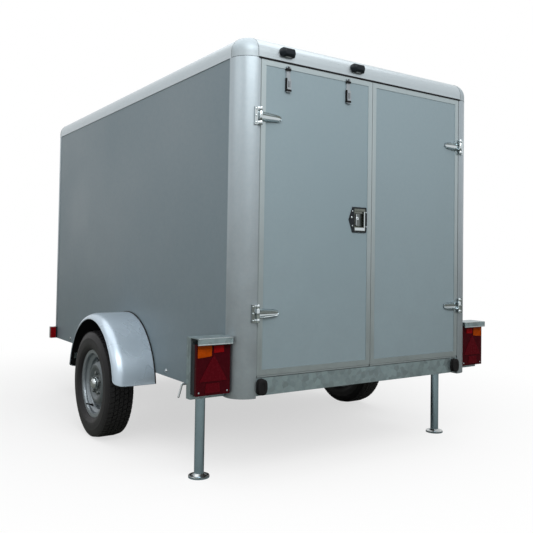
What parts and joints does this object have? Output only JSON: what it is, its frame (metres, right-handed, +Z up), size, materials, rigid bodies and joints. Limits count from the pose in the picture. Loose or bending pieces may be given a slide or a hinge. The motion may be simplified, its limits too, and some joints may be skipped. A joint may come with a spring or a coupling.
{
  "type": "box trailer",
  "caption": "Closed box trailer with rounded aluminium edges, rear double doors, outboard wheels under mudguards, drawbar with ball coupling, jockey wheel and rear prop stands.",
  "frame": {"origin": "centre of the bounding box on the ground plane under the wheels, stands and jockey wheel", "axes": "+X forward along the drawbar to the coupling, +Y left, +Z up; the rear doors face -X"},
  "size_m": [3.7732, 1.924, 1.964],
  "materials": {
    "galvanised_steel": "spangled zinc, matt",
    "zinc_plated_steel": "bright zinc",
    "stand_steel": "drawn tube, zinc coated",
    "black_plastic": "moulded, fine grain",
    "plywood": "film-faced plywood",
    "grey_panel": "silver grey satin coating",
    "roof_skin": "pale grey sheet",
    "aluminium_profile": "brushed, anodised",
    "cast_aluminium": "satin",
    "silver_mudguard": "silver lacquer",
    "chrome": "polished",
    "red_lens": "ribbed red and amber lens",
    "black_rubber": "ribbed rubber",
    "marker_lens": "red and clear lens in black base",
    "tyre_rubber": "worn road rubber",
    "silver_rim": "silver lacquered steel",
    "hub_steel": "zinc",
    "clip_steel": "dull steel"
  },
  "bodies": {
    "root": {"side_rails": "galvanised_steel", "cross_members": "galvanised_steel", "rear_sill": "galvanised_steel", "drawbar_legs": "galvanised_steel", "drawbar_nose": "galvanised_steel", "coupling_head": "zinc_plated_steel", "coupling_handle": "black_plastic", "axle_beam": "galvanised_steel", "swing_arms": "galvanised_steel", "floor_panel": "plywood", "left_wall": "grey_panel", "right_wall": "grey_panel", "front_wall": "grey_panel", "roof_panel": "roof_skin", "corner_posts": "aluminium_profile", "roof_rails": "aluminium_profile", "roof_corner_caps": "cast_aluminium", "left_mudguard": "silver_mudguard", "right_mudguard": "silver_mudguard", "mudguard_stays": "galvanised_steel", "hinge_plates": "chrome", "lamp_brackets": "galvanised_steel", "lamp_housings": "black_plastic", "lamp_lenses": "red_lens", "rear_buffers": "black_rubber", "plate_lamps": "black_plastic", "marker_lamps": "marker_lens", "lead_gland": "black_plastic", "stand_clamps": "galvanised_steel", "jockey_clamp": "galvanised_steel"},
    "left_wheel": {"left_tyre": "tyre_rubber", "left_rim": "silver_rim", "left_hub": "hub_steel"},
    "right_wheel": {"right_tyre": "tyre_rubber", "right_rim": "silver_rim", "right_hub": "hub_steel"},
    "left_door": {"left_door_panel": "grey_panel", "left_door_frame": "aluminium_profile", "left_hinge_arms": "chrome", "door_lock": "chrome", "plate_clips": "clip_steel"},
    "right_door": {"right_door_panel": "grey_panel", "right_door_frame": "aluminium_profile", "right_hinge_arms": "chrome"},
    "left_stand": {"left_prop_stand": "stand_steel"},
    "right_stand": {"right_prop_stand": "stand_steel"},
    "jockey_leg": {"jockey_tube": "stand_steel"},
    "jockey_inner": {"jockey_stem": "zinc_plated_steel"},
    "jockey_swivel": {"jockey_fork": "zinc_plated_steel"},
    "jockey_roller": {"jockey_wheel": "black_rubber"}
  },
  "joints": [
    {"name": "left_wheel_spin", "type": "hinge", "parent": "root", "child": "left_wheel", "pos_m": [-0.66065, 0.884, 0.288], "axis": [0, 1, 0], "continuous": true},
    {"name": "right_wheel_spin", "type": "hinge", "parent": "root", "child": "right_wheel", "pos_m": [-0.66065, -0.884, 0.288], "axis": [0, 1, 0], "continuous": true},
    {"name": "left_door_swing", "type": "hinge", "parent": "root", "child": "left_door", "pos_m": [-1.86765, 0.643, 1.179], "axis": [0, 0, -1], "range_deg": [0, 180]},
    {"name": "right_door_swing", "type": "hinge", "parent": "root", "child": "right_door", "pos_m": [-1.86765, -0.643, 1.179], "axis": [0, 0, 1], "range_deg": [0, 180]},
    {"name": "left_stand_slide", "type": "slide", "parent": "root", "child": "left_stand", "axis": [0, 0, 1], "range_m": [0, 0.36]},
    {"name": "right_stand_slide", "type": "slide", "parent": "root", "child": "right_stand", "axis": [0, 0, 1], "range_m": [0, 0.36]},
    {"name": "jockey_clamp_slide", "type": "slide", "parent": "root", "child": "jockey_leg", "axis": [0, 0, 1], "range_m": [0, 0.095]},
    {"name": "jockey_screw", "type": "slide", "parent": "jockey_leg", "child": "jockey_inner", "axis": [0, 0, 1], "range_m": [-0.15, 0]},
    {"name": "jockey_caster", "type": "hinge", "parent": "jockey_inner", "child": "jockey_swivel", "pos_m": [1.58335, 0.12519, 0.222], "axis": [0, 0, 1], "continuous": true},
    {"name": "jockey_roll", "type": "hinge", "parent": "jockey_swivel", "child": "jockey_roller", "pos_m": [1.54535, 0.12519, 0.1], "axis": [0, 1, 0], "continuous": true}
  ]
}
